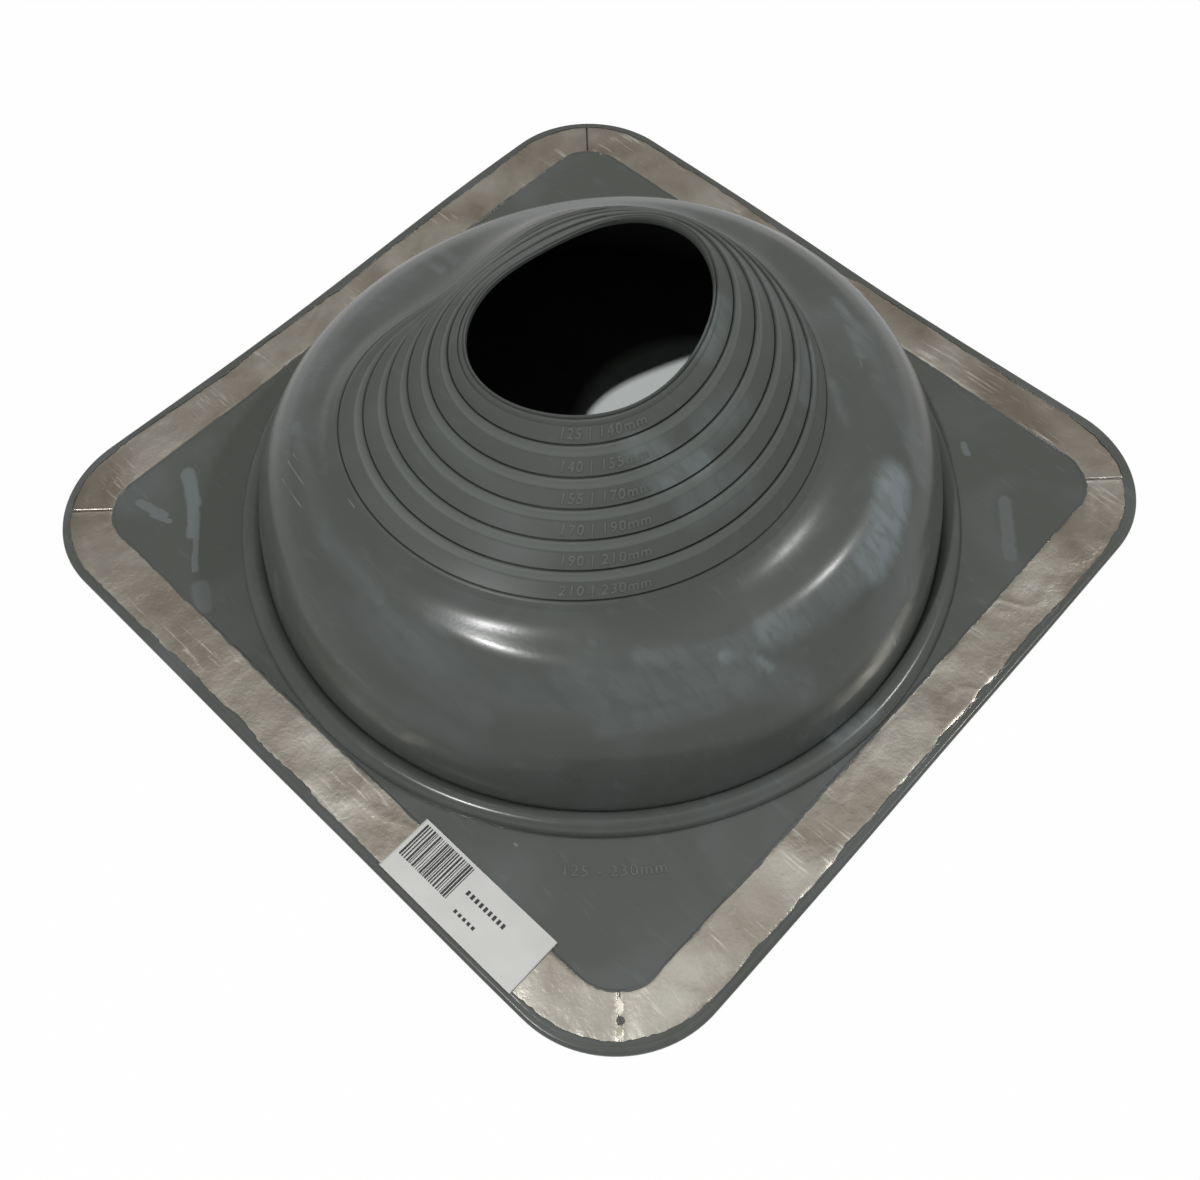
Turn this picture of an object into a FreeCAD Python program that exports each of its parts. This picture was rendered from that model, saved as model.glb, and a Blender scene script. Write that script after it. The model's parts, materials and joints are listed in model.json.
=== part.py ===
import FreeCAD, Part
import Sketcher
import math
import os

# Pipe flashing boot for a roof sheet: a one-piece moulded rubber boot with a square flange, a domed
# skirt and a stepped neck, and four soft aluminium strips let into the edge of the flange.
# The origin is the middle of the flange's underside and +Z runs up through the dome.
# The rubber has taken a lean: the neck's rings tip over more and more from its foot to its rim. Its
# left side, at -X, is pushed in flat, most of all at its foot.

doc = FreeCAD.newDocument("flashing_boot")

# Driving dimensions, in millimetres and degrees
DIMENSIONS = [
    ("flange_width", 364.0),
    ("flange_corner", 49.0),
    ("flange_thickness", 4.0),
    ("flange_chamfer", 1.0),
    ("flange_shelf", 33.5),
    ("strip_margin", 2.0),
    ("strip_width", 22.5),
    ("strip_thickness", 1.0),
    ("strip_inner_corner", 20.0),
    ("strip_side_gap", 0.2),
    ("mitre_gap", 0.6),
    ("groove_width", 3.0),
    ("groove_depth", 1.0),
    ("groove_pitch", 6.0),
    ("groove_inset", 7.0),
    ("bead_offset", 3.3),
    ("bead_width", 10.0),
    ("bead_crown_width", 5.0),
    ("bead_height", 6.0),
    ("dome_flank_inset", 8.6),
    ("dome_shoulder", 33.5),
    ("dome_roof_rise", 28.0),
    ("dome_bulge", 2.5),
    ("dome_wall", 3.0),
    ("ridge_height", 70.0),
    ("ridge_round", 4.0),
    ("saddle_lip", 4.0),
    ("saddle_lip_rise", 1.2),
    ("saddle_width", 13.7),
    ("saddle_sag", 1.0),
    ("saddle_rise", 9.0),
    ("neck_foot_shift_x", -7.0),
    ("neck_foot_shift_y", -4.0),
    ("band_rise", 7.2),
    ("neck_wall", 2.5),
    ("rib_width", 2.2),
    ("rib_height", 0.9),
    ("rim_radius", 43.9),
    ("rim_wall", 2.4),
    ("rim_inset", 0.9),
    ("rim_land", 4.0),
    ("rim_lip_depth", 1.8),
    ("rim_shift_x", -1.2),
    ("rim_shift_y", -1.6),
    ("lean_angle", 14.4),
    ("lean_heading", 250.0),
    ("dent_depth", 24.5),
    ("dent_lip_depth", 16.0),
    ("dent_reach", 35.5),
    ("label_length", 70.0),
    ("label_width", 25.0),
    ("label_thickness", 0.2),
    ("label_from_edge", 2.8),
    ("label_from_side", 58.5),
]

# One band of the neck for each pipe size it can be cut to
BAND_COUNT = 6
SADDLE_STEPS = 2
GROOVE_COUNT = 2
OVERCUT = 1.0

# Sizes that follow from the driving ones. The dome stands a shelf in from the flange's edge, the
# ridge a shoulder in from the dome's foot, and the bands share out what is left down to the rim.
DERIVED = [
    ("flange_half", "flange_width / 2"),
    ("dome_base", "flange_thickness / 2"),
    ("dome_foot", "flange_half - flange_shelf"),
    ("dome_flank", "dome_foot - dome_flank_inset"),
    ("dome_flank_height", "ridge_height - dome_roof_rise"),
    ("bead_middle", "dome_foot + bead_offset"),
    ("bead_top", "flange_thickness + bead_height"),
    ("bead_inner", "bead_middle - bead_width / 2"),
    ("bead_outer", "bead_middle + bead_width / 2"),
    ("bead_crown_inner", "bead_middle - bead_crown_width / 2"),
    ("bead_crown_outer", "bead_middle + bead_crown_width / 2"),
    ("ridge_radius", "dome_foot - dome_shoulder"),
    ("lip_radius", "ridge_radius - saddle_lip"),
    ("lip_height", "ridge_height + saddle_lip_rise"),
    ("lip_slope", "atan(saddle_lip_rise / saddle_lip)"),
    ("neck_foot_radius", "lip_radius - saddle_width"),
    ("neck_foot_height", "ridge_height + saddle_rise"),
    ("neck_rise", "band_rise * %d" % BAND_COUNT),
    ("band_step", "(neck_foot_radius - rim_radius + rim_inset) / %d" % BAND_COUNT),
    ("band_slope", "atan(band_rise / band_step)"),
    ("rim_outer", "rim_radius + rim_wall"),
    ("dent_trace", "dent_depth / 50"),
    ("hollow_start", "-%g" % OVERCUT),
    ("hollow_foot", "dome_foot - dome_wall"),
    ("hollow_flank", "dome_flank - dome_wall"),
    ("hollow_ridge_radius", "ridge_radius - dome_wall * sin(45)"),
    ("hollow_ridge_height", "ridge_height - dome_wall * sin(45)"),
    ("hollow_lip_radius", "lip_radius - dome_wall * sin(lip_slope)"),
    ("hollow_lip_height", "lip_height - dome_wall * cos(lip_slope)"),
    ("bore_foot_radius", "neck_foot_radius - neck_wall * sin(band_slope)"),
    ("bore_drop", "neck_wall * cos(band_slope)"),
    ("strip_outer", "flange_half - strip_margin"),
    ("strip_inner", "strip_outer - strip_width"),
    ("strip_outer_corner", "flange_corner - strip_margin"),
    ("strip_seat", "flange_thickness - strip_thickness"),
    ("recess_outer", "strip_outer + strip_side_gap"),
    ("recess_inner", "strip_inner - strip_side_gap"),
    ("recess_outer_corner", "strip_outer_corner + strip_side_gap"),
    ("recess_inner_corner", "strip_inner_corner - strip_side_gap"),
]
for number in range(GROOVE_COUNT):
    inset = "groove_inset - %d * groove_pitch" % number
    DERIVED += [
        ("groove_%d_outer" % number, "flange_half - " + inset),
        ("groove_%d_outer_corner" % number, "flange_corner - " + inset),
        ("groove_%d_inner" % number, "groove_%d_outer - groove_width" % number),
        ("groove_%d_inner_corner" % number, "groove_%d_outer_corner - groove_width" % number),
    ]

sheet = doc.addObject("Spreadsheet::Sheet", "sizes")
cells = [(alias, str(number)) for alias, number in DIMENSIONS]
cells += [(alias, "=" + formula) for alias, formula in DERIVED]
for row, (alias, content) in enumerate(cells, start=1):
    sheet.set("A%d" % row, alias)
    sheet.set("B%d" % row, content)
    sheet.setAlias("B%d" % row, alias)
doc.recompute()


def size(alias):
    """The present value of a driving or derived size."""
    return float(sheet.get(alias))


def point(x, y):
    return FreeCAD.Vector(x, y, 0)


def new_body(label):
    body = doc.addObject("PartDesign::Body", label)
    body.Label = label
    return body


def new_sketch(body, name, plane="XY_Plane", lift=None):
    """A sketch on one of the body's own origin planes, lifted off it by a formula if one is given."""
    sketch = body.newObject("Sketcher::SketchObject", name)
    origin_plane = [f for f in body.Origin.OriginFeatures if f.Role == plane][0]
    sketch.AttachmentSupport = [(origin_plane, "")]
    sketch.MapMode = "FlatFace"
    if lift:
        sketch.setExpression("AttachmentOffset.Base.z", lift)
    return sketch


def add_constraint(sketch, *arguments, formula=None):
    """Add a constraint and, where a formula is given, bind its value to the driving dimensions."""
    index = sketch.addConstraint(Sketcher.Constraint(*arguments))
    if formula:
        sketch.setExpression("Constraints[%d]" % index, formula)
    return index


def rounded_square(sketch, half_name, corner_name):
    """Draw a square with round corners about the sketch's origin, from two named sizes."""
    half, radius = size(half_name), size(corner_name)
    half_formula, radius_formula = "sizes." + half_name, "sizes." + corner_name
    reach = half - radius
    first = sketch.GeometryCount
    for turn in range(4):
        angle = math.radians(90 * turn)
        along = FreeCAD.Vector(math.cos(angle), math.sin(angle), 0)
        out = FreeCAD.Vector(math.sin(angle), -math.cos(angle), 0)
        sketch.addGeometry(Part.LineSegment(out * half - along * reach, out * half + along * reach))
        centre = (out + along) * reach
        corner = Part.Circle(centre, FreeCAD.Vector(0, 0, 1), radius)
        start = angle - math.pi / 2
        sketch.addGeometry(Part.ArcOfCircle(corner, start, start + math.pi / 2))
    for turn in range(4):
        line = first + 2 * turn
        arc = line + 1
        following = first + (2 * turn + 2) % 8
        add_constraint(sketch, "Tangent", line, 2, arc, 1)
        add_constraint(sketch, "Tangent", arc, 2, following, 1)
        add_constraint(sketch, "Vertical" if turn % 2 else "Horizontal", line)
        if turn:
            add_constraint(sketch, "Equal", first + 1, arc)
    add_constraint(sketch, "Radius", first + 1, radius, formula=radius_formula)
    add_constraint(sketch, "DistanceY", first, 1, -1, 1, half, formula=half_formula)
    add_constraint(sketch, "DistanceX", -1, 1, first + 2, 1, half, formula=half_formula)
    add_constraint(sketch, "DistanceY", -1, 1, first + 4, 1, half, formula=half_formula)
    add_constraint(sketch, "DistanceX", first + 6, 1, -1, 1, half, formula=half_formula)


def profile(sketch, corners, arcs=None):
    """Draw a closed outline through corners, each a pair of named sizes: its radius and its height.

    A radius of None puts a corner on the axis. arcs gives the sides that bulge, as {side: named
    size}: the side's number is that of the corner it starts from, and the size is how high it
    bulges over its chord.
    """
    arcs = arcs or {}
    count = len(corners)
    places = [point(size(x) if x else 0, size(y)) for x, y in corners]
    for side, start in enumerate(places):
        end = places[(side + 1) % count]
        if side in arcs:
            chord = end - start
            bulge = FreeCAD.Vector(chord.y, -chord.x, 0).normalize() * size(arcs[side])
            sketch.addGeometry(Part.Arc(start, start + chord * 0.5 + bulge, end))
        else:
            sketch.addGeometry(Part.LineSegment(start, end))
    for side in range(count):
        add_constraint(sketch, "Coincident", side, 2, (side + 1) % count, 1)
    for side, (x, y) in enumerate(corners):
        if x:
            add_constraint(sketch, "DistanceX", -1, 1, side, 1, places[side].x, formula="sizes." + x)
        else:
            add_constraint(sketch, "PointOnObject", side, 1, -2)
        add_constraint(sketch, "DistanceY", -1, 1, side, 1, places[side].y, formula="sizes." + y)
    for side, bulge_name in arcs.items():
        start, end = side, (side + 1) % count
        chord, bulge = (places[end] - places[start]).Length, size(bulge_name)
        chord_formula = "((sizes.%s - sizes.%s)^2 + (sizes.%s - sizes.%s)^2)" % (
            corners[end][0], corners[start][0], corners[end][1], corners[start][1])
        formula = "%s / (8 * sizes.%s) + sizes.%s / 2" % (chord_formula, bulge_name, bulge_name)
        add_constraint(sketch, "Radius", side, chord ** 2 / (8 * bulge) + bulge / 2, formula=formula)


def revolve(body, kind, name, sketch):
    feature = body.newObject(kind, name)
    feature.Profile = sketch
    feature.ReferenceAxis = (sketch, ["V_Axis"])
    feature.Angle = 360
    return feature


# The heading of the lean as an axis lying flat, square to that heading
LEAN_AXIS = "vector(-sin(sizes.lean_heading); cos(sizes.lean_heading); 0)"


def ring(body, name, radius, rise):
    """A ring of the leaning neck: its radius, and its rise above the neck's foot, as formulas."""
    share = "((%s) / sizes.neck_rise)" % rise
    foot_x, foot_y = "sizes.neck_foot_shift_x", "sizes.neck_foot_shift_y"
    x = "%s + (sizes.rim_shift_x - %s) * %s" % (foot_x, foot_x, share)
    y = "%s + (sizes.rim_shift_y - %s) * %s" % (foot_y, foot_y, share)
    z = "sizes.neck_foot_height + " + rise
    left = "sizes.dent_depth * (1 - (%s) / sizes.dent_reach)" % rise
    dent = "(%s > sizes.dent_trace ? %s : sizes.dent_trace)" % (left, left)
    return section(body, name, radius, dent, x, y, z, "sizes.lean_angle * %s" % share)


def section(body, name, radius, dent, x, y, z, tilt="0"):
    """A section of a loft, tipped over by the tilt: a circle whose left side is pushed in flat."""
    sketch = new_sketch(body, name)
    start_radius, start_dent = size("rim_radius"), size("dent_trace")
    reach = start_radius - start_dent
    turn = math.pi - math.acos(reach / start_radius)
    round_side = Part.ArcOfCircle(Part.Circle(point(0, 0), FreeCAD.Vector(0, 0, 1), start_radius),
                                  -turn, turn)
    sketch.addGeometry(round_side)
    sketch.addGeometry(Part.LineSegment(round_side.EndPoint, round_side.StartPoint))
    add_constraint(sketch, "Coincident", 0, 3, -1, 1)
    add_constraint(sketch, "Coincident", 0, 2, 1, 1)
    add_constraint(sketch, "Coincident", 1, 2, 0, 1)
    add_constraint(sketch, "Vertical", 1)
    add_constraint(sketch, "Radius", 0, start_radius, formula=radius)
    add_constraint(sketch, "DistanceX", 1, 1, -1, 1, reach, formula="(%s) - %s" % (radius, dent))
    sketch.setExpression("AttachmentOffset", leaning_place(x, y, z, tilt))
    return sketch


def leaning_place(x, y, z, tilt):
    return "placement(vector(%s; %s; %s); rotation(%s; %s))" % (x, y, z, LEAN_AXIS, tilt)


def rim_place(depth):
    """The place of something square to the pipe's way out, a depth below the rim's upper face."""
    level = "(%s) * sin(sizes.lean_angle)" % depth
    x = "sizes.rim_shift_x - %s * cos(sizes.lean_heading)" % level
    y = "sizes.rim_shift_y - %s * sin(sizes.lean_heading)" % level
    z = "sizes.neck_foot_height + sizes.neck_rise - (%s) * cos(sizes.lean_angle)" % depth
    return x, y, z, "sizes.lean_angle"


def saddle_rings(body, name, steps, start_radius, start_height, end_radius, end_height):
    """Rings of the hollow curve between the dome's lip and the neck's foot, the foot's left out."""
    rings = []
    for step in range(steps):
        share = step / steps
        sag = "sizes.saddle_sag * %g" % (4 * share * (1 - share))
        radius = "(%s) * %g + (%s) * %g" % (start_radius, 1 - share, end_radius, share)
        height = "(%s) * %g + (%s) * %g - %s" % (start_height, 1 - share, end_height, share, sag)
        x = "sizes.neck_foot_shift_x * %g" % share
        y = "sizes.neck_foot_shift_y * %g" % share
        dent = "(sizes.dent_lip_depth * %g + sizes.dent_depth * %g)" % (1 - share, share)
        rings.append(section(body, "%s_%d" % (name, step), radius, dent, x, y, height))
    return rings


def loft(body, kind, name, rings):
    feature = body.newObject(kind, name)
    feature.Profile = rings[0]
    feature.Sections = rings[1:]
    feature.Ruled = True
    return feature


# Rubber boot
boot = new_body("boot")

flange_outline = new_sketch(boot, "flange_outline")
rounded_square(flange_outline, "flange_half", "flange_corner")
flange = boot.newObject("PartDesign::Pad", "flange")
flange.Profile = flange_outline
flange.setExpression("Length", "sizes.flange_thickness")
doc.recompute()

# the flange's upper edge is eased so that it leaves the mould
top_edges = []
for index, edge in enumerate(flange.Shape.Edges, start=1):
    box = edge.BoundBox
    if box.ZMin > size("flange_thickness") - 0.01:
        top_edges.append("Edge%d" % index)
flange_chamfer = boot.newObject("PartDesign::Chamfer", "flange_chamfer")
flange_chamfer.Base = (flange, top_edges)
flange_chamfer.setExpression("Size", "sizes.flange_chamfer")

# dome: its flank leans in a little, then bulges over to the ridge below the neck
dome_outline = new_sketch(boot, "dome_outline", "XZ_Plane")
profile(dome_outline, [
    (None, "dome_base"),
    ("dome_foot", "dome_base"),
    ("dome_flank", "dome_flank_height"),
    ("ridge_radius", "ridge_height"),
    ("lip_radius", "lip_height"),
    (None, "lip_height"),
], {2: "dome_bulge"})
dome = revolve(boot, "PartDesign::Revolution", "dome", dome_outline)
doc.recompute()

# the ridge is softly rounded
ridge_edges = []
for index, edge in enumerate(dome.Shape.Edges, start=1):
    box = edge.BoundBox
    level = abs(box.ZMin - size("ridge_height")) < 0.01 and box.ZLength < 0.01
    if level and abs(box.XMax - size("ridge_radius")) < 0.01:
        ridge_edges.append("Edge%d" % index)
ridge = boot.newObject("PartDesign::Fillet", "ridge")
ridge.Base = (dome, ridge_edges)
ridge.setExpression("Radius", "sizes.ridge_round")

# bead: a welt with sloping shoulders where the dome meets the flange
bead_outline = new_sketch(boot, "bead_outline", "XZ_Plane")
profile(bead_outline, [
    ("bead_inner", "dome_base"),
    ("bead_outer", "dome_base"),
    ("bead_crown_outer", "bead_top"),
    ("bead_crown_inner", "bead_top"),
])
bead = revolve(boot, "PartDesign::Revolution", "bead", bead_outline)

# neck: bands that step in and up, with a raised rib along the foot of each
outer_rings = saddle_rings(boot, "saddle", SADDLE_STEPS, "sizes.lip_radius", "sizes.lip_height",
                           "sizes.neck_foot_radius", "sizes.neck_foot_height")
for band in range(BAND_COUNT):
    # places beside the boundary: how far down the slope from it, and how far out of the surface
    marks = [
        ("rib_start", "sizes.rib_width", "0"),
        ("rib_top", "sizes.rib_width / 2", "sizes.rib_height"),
        ("band_start", "0", "0"),
    ]
    for name, down, out in marks:
        radius = ("sizes.neck_foot_radius - sizes.band_step * %d"
                  " + %s * cos(sizes.band_slope) + %s * sin(sizes.band_slope)" % (band, down, out))
        rise = ("(sizes.band_rise * %d"
                " - %s * sin(sizes.band_slope) + %s * cos(sizes.band_slope))" % (band, down, out))
        outer_rings.append(ring(boot, "%s_%d" % (name, band), radius, rise))
# collar at the top, square to the pipe, with a raised lip
rim_marks = [
    ("rim_start", "sizes.rim_land", "sizes.rim_outer"),
    ("rim_lip", "sizes.rim_lip_depth", "sizes.rim_outer + sizes.rib_height"),
    ("rim_top", "0", "sizes.rim_outer"),
]
for name, depth, radius in rim_marks:
    outer_rings.append(section(boot, name, radius, "sizes.dent_trace", *rim_place(depth)))
neck = loft(boot, "PartDesign::AdditiveLoft", "neck", outer_rings)

# hollow of the dome, a wall's thickness inside it and open through the underside
hollow_outline = new_sketch(boot, "hollow_outline", "XZ_Plane")
profile(hollow_outline, [
    (None, "hollow_start"),
    ("hollow_foot", "hollow_start"),
    ("hollow_flank", "dome_flank_height"),
    ("hollow_ridge_radius", "hollow_ridge_height"),
    ("hollow_lip_radius", "hollow_lip_height"),
    (None, "hollow_lip_height"),
])
hollow = revolve(boot, "PartDesign::Groove", "hollow", hollow_outline)

# bore of the neck, a wall's thickness inside its bands
inner_rings = saddle_rings(boot, "saddle_bore", 1, "sizes.hollow_lip_radius", "sizes.hollow_lip_height",
                           "sizes.bore_foot_radius", "sizes.neck_foot_height - sizes.bore_drop")
for name, band in (("bore_foot", 0), ("bore_middle", BAND_COUNT // 2), ("bore_neck", BAND_COUNT - 1)):
    radius = "sizes.bore_foot_radius - sizes.band_step * %d" % band
    rise = "(sizes.band_rise * %d - sizes.bore_drop)" % band
    inner_rings.append(ring(boot, name, radius, rise))
inner_rings.append(section(boot, "bore_top", "sizes.rim_radius", "sizes.dent_trace",
                           *rim_place("sizes.rim_land")))
bore = loft(boot, "PartDesign::SubtractiveLoft", "bore", inner_rings)
doc.recompute()

# the rim's straight land, which grips the pipe
rim_bore = boot.newObject("PartDesign::SubtractiveCylinder", "rim_bore")
rim_bore.AttachmentSupport = [([f for f in boot.Origin.OriginFeatures if f.Role == "XY_Plane"][0], "")]
rim_bore.MapMode = "FlatFace"
rim_bore.setExpression("AttachmentOffset", leaning_place(*rim_place("sizes.rim_land")))
rim_bore.setExpression("Radius", "sizes.rim_radius")
rim_bore.setExpression("Height", "sizes.rim_land + %g" % OVERCUT)
doc.recompute()


def ring_recess(name, lift, depth, outer, inner, rising):
    """Sink a square ring into the flange, between two pairs of named sizes: half width and corner."""
    before = boot.Tip.Shape.Volume
    sketch = new_sketch(boot, name + "_outline", lift=lift)
    rounded_square(sketch, *outer)
    rounded_square(sketch, *inner)
    recess = boot.newObject("PartDesign::Pocket", name)
    recess.Profile = sketch
    recess.Reversed = rising
    recess.setExpression("Length", depth)
    doc.recompute()
    assert recess.Shape.Volume < before, name + " cuts nothing"


# recess round the flange's edge that the strips lie in
ring_recess("strip_recess", "sizes.flange_thickness", "sizes.strip_thickness",
            ("recess_outer", "recess_outer_corner"), ("recess_inner", "recess_inner_corner"), False)

# shallow grooves under the flange; the ribs between them bed into the sealant
for number in range(GROOVE_COUNT):
    ring_recess("seal_groove_%d" % (number + 1), "0", "sizes.groove_depth",
                ("groove_%d_outer" % number, "groove_%d_outer_corner" % number),
                ("groove_%d_inner" % number, "groove_%d_inner_corner" % number), True)

# Aluminium strips
STRIP_SIDES = [("front", 0), ("right", 90), ("rear", 180), ("left", 270)]


def edge_strip(side, turn):
    """One side's strip, mitred at both ends on the flange's diagonals and bent round half a corner."""
    strip = new_body("edge_strip_" + side)
    sketch = new_sketch(strip, "strip_outline_" + side, lift="sizes.strip_seat")
    # each edge: its half width and its corner radius
    edges = [("strip_outer", "strip_outer_corner"), ("strip_inner", "strip_inner_corner")]
    up = FreeCAD.Vector(0, 0, 1)
    ends = []
    for half_name, corner_name in edges:
        half, radius = size(half_name), size(corner_name)
        reach = half - radius
        short = math.asin(size("mitre_gap") / 2 / radius)
        sketch.addGeometry(Part.LineSegment(point(-reach, -half), point(reach, -half)))
        right = Part.ArcOfCircle(Part.Circle(point(reach, -reach), up, radius),
                                 math.radians(-90), math.radians(-45) - short)
        left = Part.ArcOfCircle(Part.Circle(point(-reach, -reach), up, radius),
                                math.radians(-135) + short, math.radians(-90))
        sketch.addGeometry(right)
        sketch.addGeometry(left)
        ends.append((left.StartPoint, right.EndPoint))
    for hand in range(2):
        sketch.addGeometry(Part.LineSegment(ends[0][hand], ends[1][hand]))
    for number, (half_name, corner_name) in enumerate(edges):
        line, right, left = 3 * number, 3 * number + 1, 3 * number + 2
        half, radius = size(half_name), size(corner_name)
        half_formula, radius_formula = "sizes." + half_name, "sizes." + corner_name
        reach = half - radius
        reach_formula = "%s - %s" % (half_formula, radius_formula)
        add_constraint(sketch, "Tangent", line, 2, right, 1)
        add_constraint(sketch, "Tangent", line, 1, left, 2)
        add_constraint(sketch, "Horizontal", line)
        add_constraint(sketch, "Equal", right, left)
        add_constraint(sketch, "Radius", right, radius, formula=radius_formula)
        add_constraint(sketch, "DistanceY", line, 1, -1, 1, half, formula=half_formula)
        add_constraint(sketch, "DistanceX", left, 3, -1, 1, reach, formula=reach_formula)
        add_constraint(sketch, "DistanceX", -1, 1, right, 3, reach, formula=reach_formula)
        add_constraint(sketch, "Coincident", 6, 1 + number, left, 1)
        add_constraint(sketch, "Coincident", 7, 1 + number, right, 2)
    for mitre in (6, 7):
        add_constraint(sketch, "Distance", -1, 1, mitre, size("mitre_gap") / 2,
                       formula="sizes.mitre_gap / 2")
    add_constraint(sketch, "Angle", 6, math.radians(45))
    add_constraint(sketch, "Angle", 7, math.radians(135))
    sheet_metal = strip.newObject("PartDesign::Pad", "strip_" + side)
    sheet_metal.Profile = sketch
    sheet_metal.setExpression("Length", "sizes.strip_thickness")
    strip.Placement = FreeCAD.Placement(point(0, 0), FreeCAD.Rotation(up, turn))
    return strip


strips = [edge_strip(side, turn) for side, turn in STRIP_SIDES]

# Paper label, stuck down over the front strip and the rubber beside it
label = doc.addObject("Part::Box", "label")
label.Label = "label"
label.setExpression("Length", "sizes.label_length")
label.setExpression("Width", "sizes.label_width")
label.setExpression("Height", "sizes.label_thickness")
label.setExpression("Placement.Base.x",
                    "sizes.flange_width / 2 - sizes.label_from_side - sizes.label_length")
label.setExpression("Placement.Base.y", "sizes.label_from_edge - sizes.flange_width / 2")
label.setExpression("Placement.Base.z", "sizes.flange_thickness")
doc.recompute()

# Check and write
for item in doc.Objects:
    problems = [word for word in item.State if word in ("Invalid", "Error")]
    assert not problems, "%s: %s" % (item.Name, problems)
for sketch in doc.findObjects("Sketcher::SketchObject"):
    assert sketch.solve() == 0, sketch.Name + " has clashing constraints"
os.makedirs("parts", exist_ok=True)
for item in [boot] + strips + [label]:
    shape = item.Shape
    assert not shape.isNull() and shape.isValid(), item.Label + " has no valid shape"
    assert len(shape.Solids) == 1, item.Label + " is not one solid"
    shape.exportStep("parts/%s.step" % item.Label)
    print("%-18s %9.1f mm3" % (item.Label, shape.Volume))
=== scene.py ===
import json
import math

import bmesh
import bpy
import numpy as np
from mathutils import Matrix, Vector


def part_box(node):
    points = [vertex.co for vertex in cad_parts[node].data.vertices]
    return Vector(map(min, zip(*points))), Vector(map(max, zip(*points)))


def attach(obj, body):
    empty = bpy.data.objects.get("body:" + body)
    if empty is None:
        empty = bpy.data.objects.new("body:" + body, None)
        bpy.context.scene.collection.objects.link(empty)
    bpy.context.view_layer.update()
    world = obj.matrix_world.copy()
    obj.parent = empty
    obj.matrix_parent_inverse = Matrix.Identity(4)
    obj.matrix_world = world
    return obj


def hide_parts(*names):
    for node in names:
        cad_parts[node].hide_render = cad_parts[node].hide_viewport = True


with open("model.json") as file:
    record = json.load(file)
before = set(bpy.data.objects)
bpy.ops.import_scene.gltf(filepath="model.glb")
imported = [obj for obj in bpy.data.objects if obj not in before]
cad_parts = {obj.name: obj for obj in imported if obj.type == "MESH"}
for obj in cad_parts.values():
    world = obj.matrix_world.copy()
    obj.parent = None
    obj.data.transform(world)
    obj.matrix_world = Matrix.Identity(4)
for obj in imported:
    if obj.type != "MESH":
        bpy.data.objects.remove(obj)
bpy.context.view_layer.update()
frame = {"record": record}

# Rubber boot.
# One moulding in grey EPDM: square flange, welt, domed skirt and a stepped, leaning neck. It comes out
# of the mould in one piece, so its whole skin is one closed mesh, drawn ring by ring. Sizes are in mm.
MM = 0.001
AROUND = 512


def box_in_mm(node):
    """A node's lowest and highest corners in the frame, in mm to a tenth."""
    return [[round(value / MM, 1) for value in corner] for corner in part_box(node)]


def mount(name):
    """One of the record's mounts, by its name."""
    return [m for m in frame["record"]["mounts"] if m["name"] == name][0]


FLANGE_HALF = box_in_mm("boot")[1][0]
FLANGE_CORNER = 49.0
STRIP_SEAT, FLANGE_TOP = (corner[2] for corner in box_in_mm("edge_strip_front"))
STRIP_OUTER = 178.7
STRIP_INNER = 157.5
STRIP_OUTER_CORNER = 45.7
STRIP_INNER_CORNER = 20.0
SIDE_GAP = 0.2
GROOVES = ((166.0, 169.0), (172.0, 175.0))
GROOVE_DEPTH = 1.0
WELT_RADIUS = 151.8
WELT_ROUND = 5.0
WELT_MIDDLE = 5.0
NECK_FOOT_RADIUS = 97.3
NECK_FOOT_HEIGHT = 79.0
BAND_COUNT = 6
BAND_STEP = 9.05
BAND_RISE = 7.2
NECK_RISE = BAND_COUNT * BAND_RISE
NECK_WALL = 2.5
RIM_RADIUS = mount("pipe_opening")["dims"]["r_mm"]
# the neck leans over by this much at its rim, towards this heading, while its middle drifts and bends
LEAN = math.radians(14.4)
HEADING = math.radians(250.0)
FOOT_SHIFT = np.array([-7.1, -3.9])
DRIFT = np.array([7.8, 7.5])
BEND = np.array([-1.9, -5.2])
# and it has gone out of round there, by two lobes and by three: the cosine and the sine of each, in mm
TWO_LOBES = (-2.18, 3.28)
THREE_LOBES = (0.63, -2.02)

angles = np.arange(AROUND) * 2 * math.pi / AROUND


def square_radius(angle, half, corner):
    """How far the edge of a square with round corners is from its middle, in each direction."""
    across, along = np.abs(np.cos(angle)), np.abs(np.sin(angle))
    straight = half / np.maximum(across, along)
    reach = half - corner
    inside = np.maximum(corner ** 2 - (reach * (across - along)) ** 2, 0)
    bend = reach * (across + along) + np.sqrt(inside)
    return np.where(straight * np.minimum(across, along) <= reach, straight, bend)


# from this far out the sheet lifts and its edge is drawn in: a little all round, and more in some places,
# given by direction and spread in degrees and depth in mm
SETTLED_FROM = 157.0
EDGE_LIFT = 0.45
EDGE_BOW = 0.12
DRAWN_IN = ((80, 38, 2.4), (196, 28, 2.9), (134, 12, 1.4), (315, 8, 0.8))


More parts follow.
